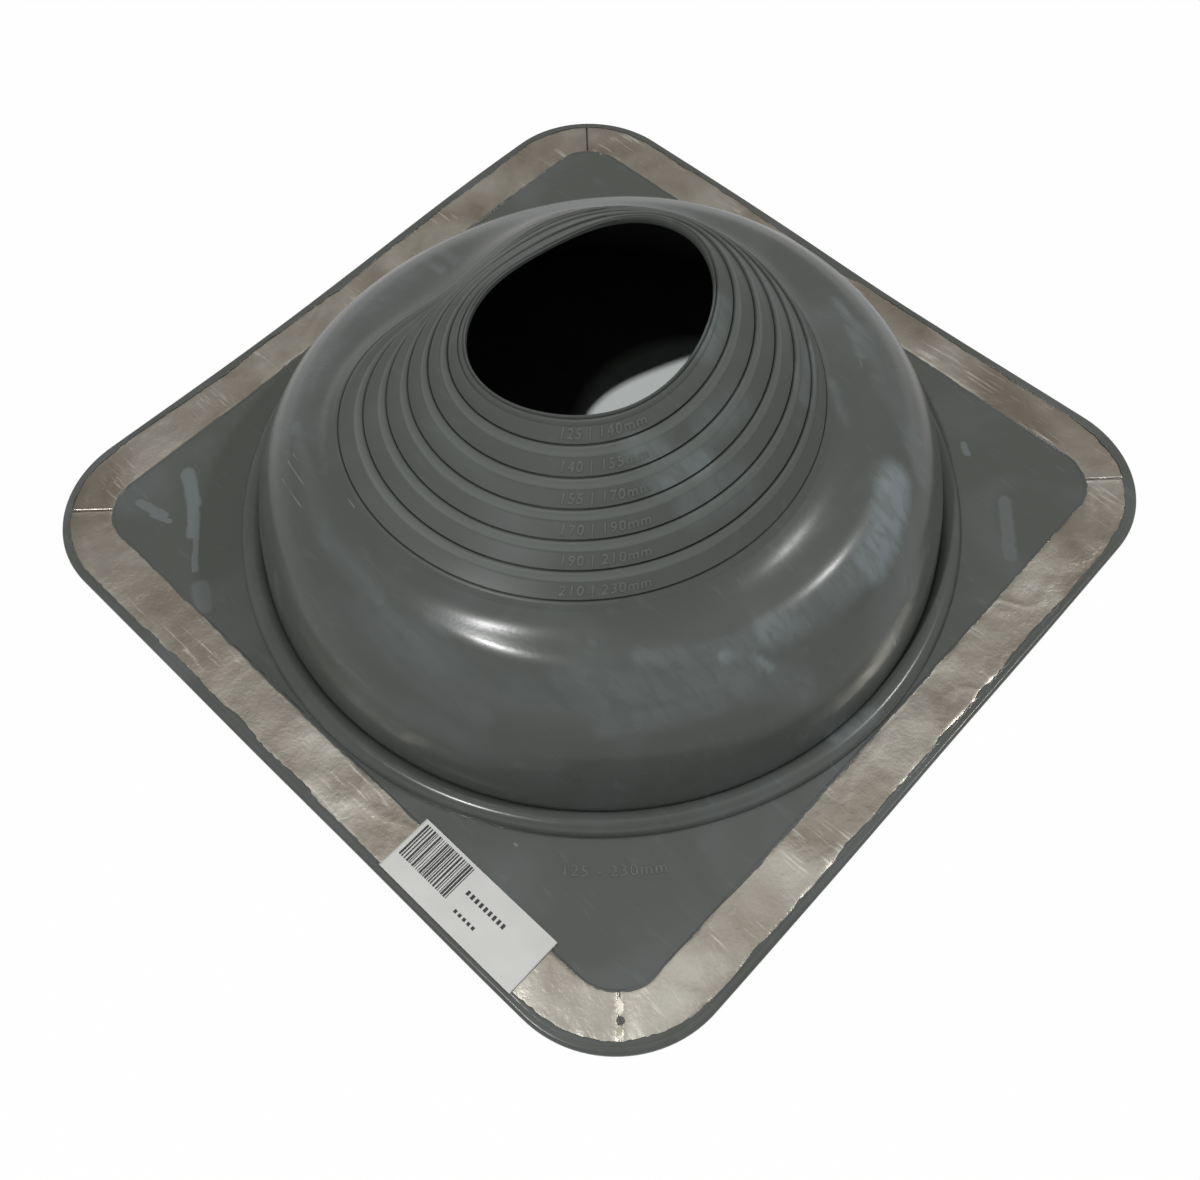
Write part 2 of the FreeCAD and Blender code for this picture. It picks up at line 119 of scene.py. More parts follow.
def settle(points):
    """Lay a point of the flat flange as the sheet really lies: a little lifted and drawn in at its edge."""
    x, y, z = points[:, 0], points[:, 1], points[:, 2]
    angle = np.arctan2(y, x)
    radius = np.hypot(x, y)
    edge = square_radius(angle, FLANGE_HALF, FLANGE_CORNER)
    share = np.clip((radius - SETTLED_FROM) / (edge - SETTLED_FROM), 0, 1)
    lift = EDGE_LIFT + 0.3 * np.sin(3 * angle + 0.7) + 0.2 * np.sin(7 * angle + 2.1)
    bow = EDGE_BOW + 0.1 * np.sin(9 * angle + 1.0)
    for middle, spread, depth in DRAWN_IN:
        aside = np.mod(np.degrees(angle) - middle + 180, 360) - 180
        bow = bow + depth * np.exp(-(aside / spread) ** 2)
    factor = 1 - share * bow / radius
    return np.column_stack([x * factor, y * factor, z + share * np.maximum(lift, 0)])


def round_ring(radius, height, shift=(0.0, 0.0)):
    """A level circle round the boot's middle, or beside it."""
    return np.column_stack([shift[0] + radius * np.cos(angles), shift[1] + radius * np.sin(angles),
                            np.full(AROUND, float(height))])


def square_ring(half, corner, height):
    """A level square with round corners, settled as the flange is."""
    radius = square_radius(angles, half, corner)
    return settle(np.column_stack([radius * np.cos(angles), radius * np.sin(angles),
                                   np.full(AROUND, float(height))]))


DENT_DEPTH = 24.0
DENT_SPREAD = math.radians(25)
DENT_REACH = 0.51


def aside_from(heading, spread, angle=angles):
    """How far a direction is from a heading, counted in spreads."""
    return (np.mod(angle, 2 * math.pi) - heading) / spread


def dent(angle, share):
    """How far the soft neck is pushed in at its left side, most of all near its foot."""
    aside = aside_from(math.pi, DENT_SPREAD, angle)
    return DENT_DEPTH * np.exp(-(share / DENT_REACH) ** 2 - aside ** 2 / 2)


# the dome's shoulder gives way below that dent: heading, spread, depth, the heights between which it
# sets in, and how much of it goes inwards and how much down
SHOULDER_HEADING = math.radians(168)
SHOULDER_SPREAD = math.radians(31)
SHOULDER_DEPTH = 7.2
SHOULDER_FROM, SHOULDER_TO = 12, 48
SHOULDER_INWARDS, SHOULDER_DOWN = 0.64, 0.77


def dome_ring(radius, height, share=0.0):
    """A ring of the dome, or of the saddle as its share grows from ridge to neck, with its dents."""
    ring = round_ring(radius - share * dent(angles, 0), height, FOOT_SHIFT * share)
    grip = min(max((height - SHOULDER_FROM) / (SHOULDER_TO - SHOULDER_FROM), 0), 1)
    aside = aside_from(SHOULDER_HEADING, SHOULDER_SPREAD)
    depth = SHOULDER_DEPTH * np.exp(-aside ** 2 / 2) * grip * grip * (3 - 2 * grip) * (1 - share)
    ring[:, :2] *= (1 - SHOULDER_INWARDS * depth / radius)[:, None]
    ring[:, 2] -= SHOULDER_DOWN * depth
    return ring


def neck_point(angle, radius, rise):
    """A place on the leaning neck, from its angle, its radius and its rise above the neck's foot."""
    angle, radius, rise = np.broadcast_arrays(*(np.asarray(v, float) for v in (angle, radius, rise)))
    share = np.clip(rise / NECK_RISE, 0, 1.02)
    tilt = LEAN * share
    n_x, n_y, n_z = np.sin(tilt) * math.cos(HEADING), np.sin(tilt) * math.sin(HEADING), np.cos(tilt)
    length = np.hypot(n_x, n_z)
    a_x, a_z = n_z / length, -n_x / length
    b_x, b_y, b_z = n_y * a_z, n_z * a_x - n_x * a_z, -n_y * a_x
    lobes = (TWO_LOBES[0] * np.cos(2 * angle) + TWO_LOBES[1] * np.sin(2 * angle)
             + THREE_LOBES[0] * np.cos(3 * angle) + THREE_LOBES[1] * np.sin(3 * angle))
    radius = radius + lobes * share ** 2 - dent(angle, share)
    c, s = radius * np.cos(angle), radius * np.sin(angle)
    centre_x = FOOT_SHIFT[0] + DRIFT[0] * share + BEND[0] * share ** 2
    centre_y = FOOT_SHIFT[1] + DRIFT[1] * share + BEND[1] * share ** 2
    return np.column_stack([centre_x + a_x * c + b_x * s, centre_y + b_y * s,
                            NECK_FOOT_HEIGHT + rise + a_z * c + b_z * s])


SLOPE = math.atan2(BAND_RISE, BAND_STEP)


def on_band(band, down, out):
    """Radius and rise beside a band's foot: how far down the slope from it and how far proud."""
    radius = NECK_FOOT_RADIUS - BAND_STEP * band + down * math.cos(SLOPE) + out * math.sin(SLOPE)
    rise = BAND_RISE * band - down * math.sin(SLOPE) + out * math.cos(SLOPE)
    return radius, rise


FINE_STEP = 0.25


def smooth_line(corners, step, spread):
    """Walk a line of corners in even steps and round it off over about the given spread."""
    corners = np.array(corners, float)
    run = np.concatenate([[0], np.cumsum(np.hypot(*np.diff(corners, axis=0).T))])
    fine = np.linspace(0, run[-1], int(run[-1] / FINE_STEP))
    walk = np.column_stack([np.interp(fine, run, corners[:, axis]) for axis in range(2)])
    reach = int(3 * spread / FINE_STEP)
    weights = np.exp(-0.5 * (np.arange(-reach, reach + 1) * FINE_STEP / spread) ** 2)
    weights /= weights.sum()
    start = 2 * walk[0] - walk[1:reach + 1][::-1]
    end = 2 * walk[-1] - walk[-reach - 1:-1][::-1]
    padded = np.vstack([start, walk, end])
    soft = np.column_stack([np.convolve(padded[:, axis], weights, "valid") for axis in range(2)])
    count = max(2, int(round(run[-1] / step)))
    picks = np.linspace(0, len(soft) - 1, count + 1).round().astype(int)
    return soft[picks]


rings = []
# how much some of the rings are painted paler or darker, by their number: 1 is pale, partly rubbing and
# partly a painted highlight, and -1 is nearly black, a painted shade
ring_painted_light_and_wear = {}

# underside of the flange, with the ribs that bed into the sealant
rings += [round_ring(146.5, 0), round_ring(152.0, 0)]
rings.append(square_ring(159.0, 21.5, 0))
for inner, outer in GROOVES:
    for half, depth in ((inner, 0), (inner, GROOVE_DEPTH), (outer, GROOVE_DEPTH), (outer, 0)):
        rings.append(square_ring(half, FLANGE_CORNER - (FLANGE_HALF - half), depth))
# edge, rounded over, and the margin outside the strips
for half, height in ((181.3, 0), (181.8, 0.3), (182.0, 1.0), (182.0, 2.7), (181.75, 3.4), (181.2, 3.85),
                     (180.6, 4.0), (STRIP_OUTER + SIDE_GAP, 3.95), (STRIP_OUTER + SIDE_GAP, STRIP_SEAT)):
    rings.append(square_ring(half, FLANGE_CORNER - (FLANGE_HALF - half), height))
inner_half, inner_corner = STRIP_INNER - SIDE_GAP, STRIP_INNER_CORNER - SIDE_GAP
for height in (STRIP_SEAT, FLANGE_TOP):
    rings.append(square_ring(inner_half, inner_corner, height))
# flange inside the strips, from their square to the welt's circle
strip_edge = square_radius(angles, inner_half, inner_corner)
welt_foot = WELT_RADIUS + WELT_ROUND - 0.1
for share in (0.03, 0.2, 0.4, 0.6, 0.8, 0.95):
    radius = strip_edge * (1 - share) + welt_foot * share
    rings.append(settle(np.column_stack([radius * np.cos(angles), radius * np.sin(angles),
                                         np.full(AROUND, FLANGE_TOP)])))
# welt, half round
welt_turn = np.radians(np.linspace(-12, 160, 11))
for turn in welt_turn:
    rings.append(round_ring(WELT_RADIUS + WELT_ROUND * math.cos(turn),
                            WELT_MIDDLE + WELT_ROUND * math.sin(turn)))
# dome flank, ridge and the saddle up to the neck's foot
dome_line = [(147.3, 8.0), (146.3, 16.0), (145.0, 25.0), (143.0, 34.0), (140.0, 43.0), (135.7, 51.5),
             (130.0, 59.0), (123.0, 65.4), (115.0, 70.3), (110.5, 71.6), (105.5, 73.3), (99.95, 76.9)]
saddle_from, saddle_to = 118.0, dome_line[-1][0]
for radius, height in smooth_line(dome_line, 2.4, 1.6):
    share = min(max((saddle_from - radius) / (saddle_from - saddle_to), 0), 1)
    share = share * share * (3 - 2 * share)
    rings.append(dome_ring(radius, height, share))
# bands: under each crease a raised rib, round at its lower edge, which stops the knife, and above it the
# band's plain face. Each point is mm down the slope from the crease, mm proud, and how pale or dark it is
# painted: the rib pale, partly rubbing and partly a painted highlight, the crease nearly black, a painted
# shade
RIB = ((3.6, 0.0, 0.1), (3.4, 0.12, 0.5), (2.75, 0.38, 0.62), (1.9, 0.66, 0.5),
       (1.1, 0.85, 0.34), (0.4, 0.88, 0.2), (-0.1, 0.8, 0.1), (-0.35, 0.6, 0.0))
CREASE = ((-0.5, -0.5, -1.0), (-0.8, -0.55, -1.0), (-1.1, 0.0, 0.0))
FACE = ((-2.0, 0.02, 0.0), (-3.8, 0.02, 0.0), (-5.6, 0.02, 0.0), (-7.2, 0.02, 0.0))
# the lowest crease has no rib, only the saddle's plain slope
NO_RIB = tuple((down, 0.0, 0.0) for down, out, wear_and_painted_light in RIB[::2])
BAND_LENGTH = math.hypot(BAND_RISE, BAND_STEP)
FOLD_HEIGHT = 1.3
FOLD_HEADING, FOLD_SPREAD = math.radians(216), math.radians(30)
FADED_HEADING, FADED_SPREAD = math.radians(172), math.radians(27)
FADED_MOST, FADED_LESS_EACH_BAND = 0.88, 0.2


def fold(down):
    """How far the crowded bands puff out between creases, on the side to which the neck leans."""
    aside = aside_from(FOLD_HEADING, FOLD_SPREAD)
    share = min(max((-down - 1.0) / (BAND_LENGTH - 4.5), 0), 1)
    return FOLD_HEIGHT * np.exp(-aside ** 2 / 2) * math.sin(math.pi * share)


def left_over(band):
    """How much of a band's rib and crease is left in the smooth pit of the dent, where they flatten out."""
    aside = aside_from(FADED_HEADING, FADED_SPREAD)
    return 1 - max(FADED_MOST - FADED_LESS_EACH_BAND * band, 0) * np.exp(-aside ** 2 / 2)


for band in range(BAND_COUNT):
    for down, out, wear_and_painted_light in (RIB if band else NO_RIB) + CREASE + FACE:
        ring_painted_light_and_wear[len(rings)] = wear_and_painted_light * left_over(band)
        radius, rise = on_band(band, down, out * left_over(band) + fold(down))
        rings.append(neck_point(angles, radius, rise))
# rim: a last rib, a thin groove and the lip, then the land that grips the pipe; it is pulled in a little
# in front and stands a little higher than the last band would take it
RIM_PULL, RIM_RAISED = 1.1, 0.25
pull = RIM_PULL * (0.5 + 0.5 * np.cos(angles + math.radians(45)))
rim_marks = [(47.9, 39.2), (47.2, 39.95), (46.7, 40.7), (46.2, 41.2), (45.7, 41.45), (45.35, 41.3),
             (45.15, 40.7), (44.9, 40.6), (44.75, 41.3), (44.55, 41.85), (44.25, 42.05),
             (RIM_RADIUS, 41.8), (RIM_RADIUS, 39.4), (44.6, 38.6)]
for radius, rise in rim_marks:
    rings.append(neck_point(angles, radius - pull, rise + RIM_RAISED))
# inside of the neck, crown and dome, a wall's thickness in
for band in (4.6, 3.6, 2.4, 1.2, 0.0):
    radius, rise = on_band(band, 0, -NECK_WALL)
    rings.append(neck_point(angles, radius, rise))
rings.append(dome_ring(103.5, 70.3, 0.5))
for radius, height in ((110.1, 68.4), (113.5, 67.3), (120.5, 62.7), (127.5, 56.5), (133.0, 49.5),
                       (139.0, 36.0), (142.0, 25.0), (143.8, 12.0), (145.5, 0.6), (145.7, 0.0)):
    rings.append(dome_ring(radius, height))


def grid_mesh(name, rows, closed_rows, closed_columns, sharp=35):
    """A mesh from rows of points in mm, joined into quads; either way round it can close on itself."""
    rows = np.asarray(rows)
    count, width = rows.shape[:2]
    faces = []
    for i in range(count if closed_rows else count - 1):
        a, b = i * width, (i + 1) % count * width
        for j in range(width if closed_columns else width - 1):
            k = (j + 1) % width
            faces.append((a + j, a + k, b + k, b + j))
    mesh = bpy.data.meshes.new(name)
    mesh.from_pydata((rows.reshape(-1, 3) * MM).tolist(), [], faces)
    return finish_mesh(name, mesh, sharp)


def finish_mesh(name, mesh, sharp=35):
    """Turn the normals outwards, shade the mesh smooth but for its sharp edges, and make its object."""
    work = bmesh.new()
    work.from_mesh(mesh)
    bmesh.ops.recalc_face_normals(work, faces=work.faces)
    work.to_mesh(mesh)
    work.free()
    mesh.shade_smooth()
    mesh.set_sharp_from_angle(angle=math.radians(sharp))
    piece = bpy.data.objects.new(name, mesh)
    bpy.context.scene.collection.objects.link(piece)
    return piece


boot = grid_mesh("rubber_boot", rings, True, True, sharp=50)

# pale bloom wiped about by hands and gloves: half width in mm, strength, and the points of each smear. A
# smear is full in its middle and gone at 1.6 half widths, where a height counts for only 0.6 of itself
SMEAR_GONE = 1.6
HEIGHT_COUNTS = 0.6
SMEARS = (
    (6.5, 0.9, ((107, 52, 68), (114, 42, 67), (119, 30, 65), (122, 18, 65))),
    (5.0, 0.55, ((122, 17, 65), (121, -9, 67), (114, -33, 68))),
    (4.5, 0.5, ((53, 100, 67), (86, 86, 67), (101, 77, 62))),
    (2.5, 0.5, ((37, 105, 71), (47, 100, 68), (61, 89, 72))),
    (4.0, 0.4, ((75, 85, 67), (96, 75, 67), (112, 67, 59))),
    (4.0, 0.35, ((114, -35, 68), (103, -56, 69), (88, -72, 67))),
    (4.5, 0.2, ((-17, -129, 59), (21, -128, 59), (56, -122, 53))),
    (5.5, 0.22, ((-2, -123, 65), (30, -121, 64), (58, -112, 62), (87, -92, 62))),
    (5.0, 0.27, ((72, -97, 67), (94, -79, 65), (108, -63, 64), (114, -47, 65))),
    (3.5, 0.22, ((92, -96, 55), (109, -73, 57), (117, -61, 57))),
    (1.6, 0.9, ((108, -51, 66), (112, -43, 64), (119, -41, 62), (122, -39, 60))),
    (6.0, 0.3, ((118, -51, 60), (133, -33, 49))),
    (3.0, 0.35, ((-83, -87, 62), (-32, -115, 68), (1, -119, 68))),
    (2.2, 0.4, ((-120, 19, 57), (-97, 14, 70))),
    (2.0, 0.4, ((-118, 9, 60), (-97, 6, 70))),
    (7.0, 0.25, ((-109, -3, 62), (-107, -40, 66), (-97, -69, 61))),
    (4.5, 0.6, ((44, -28, 109), (51, -23, 109))),
    (5.5, 0.6, ((56, -27, 104), (63, -14, 104))),
    (5.0, 0.4, ((57, -4, 111), (58, 12, 112))),
    (6.0, 0.3, ((69, -24, 96), (75, -4, 95))),
    (4.0, 0.5, ((41, 12, 124), (33, 30, 127))),
    (3.0, 0.45, ((67, 42, 92), (53, 64, 89))),
    (2.0, 0.45, ((65, 40, 97), (59, 46, 99))),
    (2.0, 0.4, ((64, 66, 78), (79, 56, 74))),
    (3.4, 0.5, ((147, -22, 9), (152, -6, 10))),
    (2.2, 0.35, ((-53, -132, 36), (-49, -136, 27))),
    (6.0, 0.4, ((-40, 96, 70), (-80, 80, 66), (-104, 52, 62))),
    (5.0, 0.4, ((60, 112, 58), (20, 128, 56), (-12, 132, 52))),
)
skin_points = np.array(rings).reshape(-1, 3)
smeared = np.zeros(len(skin_points))
for half_width, strength, line in SMEARS:
    line = np.array(line, float)
    near = np.full(len(skin_points), 1e9)
    for start, end in zip(line[:-1], line[1:]):
        way = end - start
        along = np.clip((skin_points - start) @ way / (way @ way), 0, 1)
        gap = skin_points - start - along[:, None] * way
        near = np.minimum(near, np.linalg.norm(gap * (1, 1, HEIGHT_COUNTS), axis=1))
    smeared = np.maximum(smeared, strength * np.clip(SMEAR_GONE - near / half_width, 0, 1))
boot.data.attributes.new("smeared", "FLOAT", "POINT").data.foreach_set("value", smeared)
# painted highlight and rubbing on the ribs, and painted shade in the creases, as a value at each point
painted_light_and_wear = np.zeros((len(rings), AROUND))
for number, wear_and_painted_light in ring_painted_light_and_wear.items():
    painted_light_and_wear[number] = wear_and_painted_light
boot.data.attributes.new("painted_light_and_wear", "FLOAT", "POINT").data.foreach_set("value", painted_light_and_wear.reshape(-1))


def colour(code):
    """A colour from its sRGB hex code, as the linear values that a shader takes."""
    parts = [int(code[i:i + 2], 16) / 255 for i in (1, 3, 5)]
    return [p / 12.92 if p <= 0.04045 else ((p + 0.055) / 1.055) ** 2.4 for p in parts] + [1.0]


def add(tree, kind, values=None, output=None, **settings):
    """Add a shader node, feed its inputs with values or sockets, and give back one of its outputs."""
    made = tree.nodes.new("ShaderNode" + kind)
    for name, setting in settings.items():
        setattr(made, name, setting)
    for key, value in (values or {}).items():
        fits = [s for i, s in enumerate(made.inputs) if s.enabled and key in (i, s.name)]
        if isinstance(value, bpy.types.NodeSocket):
            tree.links.new(value, fits[0])
        else:
            fits[0].default_value = value
    return [s for s in made.outputs if s.enabled and output in (None, s.name)][0]


def scale_for(size):
    """The scale at which a pattern's features are about this many mm apart."""
    return 1 / (size * MM)


def new_material(name):
    """A new material, with its node tree and its shader."""
    material = bpy.data.materials.new(name)
    material.use_nodes = True
    tree = material.node_tree
    shader = tree.nodes["Principled BSDF"]
    return material, tree, shader


# EPDM rubber, moulded: mid-dark grey and satin, with pale bluish bloom where the smears are, a faint haze
# and thin wipe marks all over, ribs painted pale, partly rubbing and partly a painted highlight, creases
# painted near black, a painted shade, and the mould's fine grain. The real grain is too fine to show in the
# picture, so it is drawn at 1.43 mm
rubber, tree, shader = new_material("moulded_epdm_rubber")
place = add(tree, "TexCoord", output="Object")
broad = add(tree, "TexNoise", {"Vector": place, "Scale": scale_for(62.5), "Detail": 3.0,
                               "Distortion": 0.8})
smear = add(tree, "Attribute", output="Fac", attribute_name="smeared")
stretch = (scale_for(16.7), scale_for(3.85), scale_for(8.33))
way = add(tree, "Mapping", {"Vector": place, "Rotation": (0.2, 0.3, 0.7), "Scale": stretch})
streak = add(tree, "TexNoise", {"Vector": way, "Scale": 1.0, "Detail": 5.0, "Distortion": 0.6})
torn = add(tree, "MapRange", {"Value": streak, "From Min": 0.38, "From Max": 0.56, "To Min": 0.6})
edge = add(tree, "MapRange", {"Value": broad, "From Min": 0.35, "From Max": 0.65,
                              "To Min": 0.3, "To Max": 1.3})
bloom = add(tree, "Math", {0: smear, 1: torn}, operation="MULTIPLY")
bloom = add(tree, "Math", {0: bloom, 1: edge}, operation="MULTIPLY", use_clamp=True)
haze = add(tree, "MapRange", {"Value": broad, "From Min": 0.5, "From Max": 0.75, "To Max": 0.22})
thin = add(tree, "MapRange", {"Value": streak, "From Min": 0.6, "From Max": 0.7, "To Max": 0.1})
haze = add(tree, "Math", {0: haze, 1: thin}, operation="ADD")
bloom = add(tree, "Math", {0: bloom, 1: haze}, operation="MAXIMUM", use_clamp=True)
# crisp wipes with torn edges and long thin scratches: half width in mm, strength, and the ends of each
MARKS = (
    (3.2, 0.55, (-143, -117, 4), (-128, -125, 4)), (2.6, 0.55, (-130, -124, 4), (-116, -135, 4)),
    (1.4, 0.45, (-124, -127, 4), (-101, -146, 4)), (2.2, 0.5, (-146, -141, 4), (-133, -138, 4)),
    (1.4, 0.5, (-137, -141, 4), (-129, -138, 4)), (4.0, 0.3, (-92, -150, 4), (-84, -154, 4)),
    (0.35, 0.75, (-85, -85, 62), (-53, -95, 74)), (0.35, 0.6, (-53, -95, 74), (-30, -101, 77)),
    (0.35, 0.6, (-74, -100, 63), (-56, -105, 68)), (0.3, 0.5, (-74, -97, 65), (-65, -99, 67)),
    (0.35, 0.6, (-71, -106, 60), (-53, -111, 65)), (0.35, 0.6, (-56, -111, 63), (-36, -115, 65)),
    (0.3, 0.5, (37, 104, 71), (52, 96, 70)), (0.3, 0.5, (52, 96, 70), (66, 84, 72)),
    (3.0, 0.3, (150, 96, 4), (132, 118, 4)), (1.6, 0.5, (101, 131, 4), (105, 128, 4)),
    (0.5, 0.9, (85, -138, 4), (86, -138, 4)),
)
TORN_BY = 2.4
uneven = add(tree, "TexNoise", {"Vector": place, "Scale": scale_for(6.25), "Detail": 3.0}, output="Color")
uneven = add(tree, "VectorMath", {0: uneven, 1: (0.5, 0.5, 0.5)}, operation="SUBTRACT")
uneven = add(tree, "VectorMath", {0: uneven, "Scale": TORN_BY * MM}, operation="SCALE")
torn_place = add(tree, "VectorMath", {0: place, 1: uneven}, operation="ADD")
for half_width, strength, start, end in MARKS:
    start, end = Vector(start) * MM, Vector(end) * MM
    way = end - start
    spot = torn_place if half_width > 1 else place
    spot = add(tree, "VectorMath", {0: spot, 1: start}, operation="SUBTRACT")
    run = add(tree, "VectorMath", {0: spot, 1: way / way.length_squared}, output="Value",
              operation="DOT_PRODUCT")
    run = add(tree, "Math", {0: run, 1: 0.0}, operation="ADD", use_clamp=True)
    nearest = add(tree, "VectorMath", {0: way, "Scale": run}, operation="SCALE")
    gap = add(tree, "VectorMath", {0: spot, 1: nearest}, output="Value", operation="DISTANCE")
    mark = add(tree, "MapRange", {"Value": gap, "From Min": half_width * 0.75 * MM,
                                  "From Max": half_width * 1.2 * MM, "To Min": strength, "To Max": 0})
    bloom = add(tree, "Math", {0: bloom, 1: mark}, operation="MAXIMUM")
tone = add(tree, "Mix", {"Factor": bloom, "A": colour("#4d504d"), "B": colour("#6f7678")}, data_type="RGBA")
# ribs and letter tops painted paler, partly a painted highlight, and creases painted near black, a painted
# shade
wear_and_painted_light = add(tree, "Attribute", output="Fac", attribute_name="painted_light_and_wear")
pale = add(tree, "MapRange", {"Value": wear_and_painted_light})
tone = add(tree, "Mix", {"Factor": pale, "A": tone, "B": colour("#6e726e")}, data_type="RGBA")
painted_crease_shade = add(tree, "MapRange", {"Value": wear_and_painted_light, "From Min": 0.0, "From Max": -1.0})
tone = add(tree, "Mix", {"Factor": painted_crease_shade, "A": tone, "B": colour("#20221f")}, data_type="RGBA")
tree.links.new(tone, shader.inputs["Base Color"])
# the dome is polished by handling, up to the first height, and from the second one up the bands keep the
# mould's dull finish
POLISHED_TO, DULL_FROM = 72 * MM, 82 * MM
sheen = add(tree, "MapRange", {"Value": bloom, "To Min": 0.22, "To Max": 0.44})
height = add(tree, "SeparateXYZ", {0: place}, output="Z")
bands = add(tree, "MapRange", {"Value": height, "From Min": POLISHED_TO, "From Max": DULL_FROM})
sheen = add(tree, "Math", {0: bands, 1: 0.18, 2: sheen}, operation="MULTIPLY_ADD", use_clamp=True)
tree.links.new(sheen, shader.inputs["Roughness"])
gloss = add(tree, "MapRange", {"Value": bands, "To Min": 0.25, "To Max": 0.1})
tree.links.new(gloss, shader.inputs["Specular IOR Level"])
grain = add(tree, "TexNoise", {"Vector": place, "Scale": scale_for(1.43), "Detail": 3.0})
skin = add(tree, "Bump", {"Height": grain, "Strength": 0.08, "Distance": 0.2 * MM})
tree.links.new(skin, shader.inputs["Normal"])

boot.data.materials.append(rubber)
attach(boot, "root")
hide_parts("boot")

# Edge strips.
# Four soft aluminium strips about 1 mm thick, stamped and laid into the flange's edge, so the flange
# can be bent to the roof's ribs. They are mitred at the corners and full of small dents and creases.
STRIP_COLUMNS = 340
STRIP_ROWS = 23
MITRE_GAPS = {"front": 0.9, "right": 0.3, "rear": 0.7, "left": 0.3}
# heights and sizes in mm of the broad dents, the small dents and the sharp creases, the size of the patches
# in which the creases lie, and the height that no crest passes
BROAD_DENTS, SMALL_DENTS, CREASES = (0.3, 14.0), (0.09, 6.5), (0.4, 24.0)
CREASED_PATCHES = 42.0
CREST = 0.34
# the long edges curl down, unevenly, over their last millimetre, and the ends lift a little at the mitres
CURL, CURL_VARIES, CURL_WIDTH = 0.1, 0.12, 1.1
MITRE_LIFT, MITRE_WIDTH = 0.25, 1.3


def rumple(x, y, size, seed):
    """Smooth random heights from -1 to 1 over the plane, with swells of about the given size in mm."""
    table = np.random.default_rng(seed).uniform(-1, 1, (64, 64))
    u, v = x / size, y / size
    i, j = np.floor(u).astype(int), np.floor(v).astype(int)
    u, v = u - i, v - j
    u, v = u * u * (3 - 2 * u), v * v * (3 - 2 * v)
    near = table[i % 64, j % 64] * (1 - u) + table[(i + 1) % 64, j % 64] * u
    far = table[i % 64, (j + 1) % 64] * (1 - u) + table[(i + 1) % 64, (j + 1) % 64] * u
    return near * (1 - v) + far * v


def dents(x, y):
    """Height of the dents and creases in soft sheet metal, in mm."""
    swell = BROAD_DENTS[0] * rumple(x, y, BROAD_DENTS[1], 1)
    swell = swell + SMALL_DENTS[0] * rumple(x + y, x - y, SMALL_DENTS[1], 2)
    ridge = (1 - np.abs(rumple(x + 0.4 * y, y - 0.4 * x, CREASES[1], 3))) ** 9
    ridge = CREASES[0] * ridge * np.clip(rumple(x, y, CREASED_PATCHES, 4) + 0.3, 0, 1)
    return np.minimum(swell + ridge, CREST)


def edge_strip(side, turn, gaps):
    """One strip between its two mitres, each with its own gap."""
    middle = math.radians(turn - 90)
    along = np.linspace(-math.pi / 4, math.pi / 4, STRIP_COLUMNS)
    angle = middle + along
    outer = square_radius(angle, STRIP_OUTER, STRIP_OUTER_CORNER)
    inner = square_radius(angle, STRIP_INNER, STRIP_INNER_CORNER)
    setback = np.zeros((STRIP_COLUMNS, 2))
    tangent = np.array([-math.sin(middle), math.cos(middle)])
    setback[0] = tangent * gaps[0] / 2 * math.sqrt(2)
    setback[-1] = -tangent * gaps[1] / 2 * math.sqrt(2)
    top, bottom = [], []
    for step in np.linspace(0, 1, STRIP_ROWS):
        # the rows lie closer together at both edges
        share = step - 0.11 * math.sin(2 * math.pi * step)
        radius = outer * (1 - share) + inner * share
        x = radius * np.cos(angle) + setback[:, 0]
        y = radius * np.sin(angle) + setback[:, 1]
        edge = min(share, 1 - share) * (STRIP_OUTER - STRIP_INNER)
        curl = math.exp(-(edge / CURL_WIDTH) ** 2) * (CURL + CURL_VARIES * rumple(x, y, 9.0, 5))
        from_mitre = (math.pi / 4 - np.abs(along)) * radius
        curl = np.maximum(curl, 0) - MITRE_LIFT * np.exp(-(from_mitre / MITRE_WIDTH) ** 2)
        height = FLANGE_TOP + dents(x, y) * min(edge / 1.5, 1) - curl
        top.append(settle(np.column_stack([x, y, height])))
        bottom.append(settle(np.column_stack([x, y, np.full(STRIP_COLUMNS, STRIP_SEAT)])))
    rows = top + bottom[::-1]
    piece = grid_mesh("aluminium_strip_" + side, rows, True, False, sharp=40)
    close_ends(piece.data)
    return piece


def close_ends(mesh):
    """Fill the open ends of a tube-like mesh."""
    work = bmesh.new()
    work.from_mesh(mesh)
    bmesh.ops.holes_fill(work, edges=[e for e in work.edges if e.is_boundary], sides=0)
    bmesh.ops.recalc_face_normals(work, faces=work.faces)
    work.to_mesh(mesh)
    work.free()


# mill-finish aluminium, handled and dented: dull grey with brown patches, a painted reflection of brown
# surroundings, short bright rubs in patches, and a finely crumpled skin
aluminium, tree, shader = new_material("mill_finish_aluminium")
place = add(tree, "TexCoord", output="Object")
cloud = add(tree, "TexNoise", {"Vector": place, "Scale": scale_for(45.5), "Detail": 5.0,
                               "Distortion": 0.5})
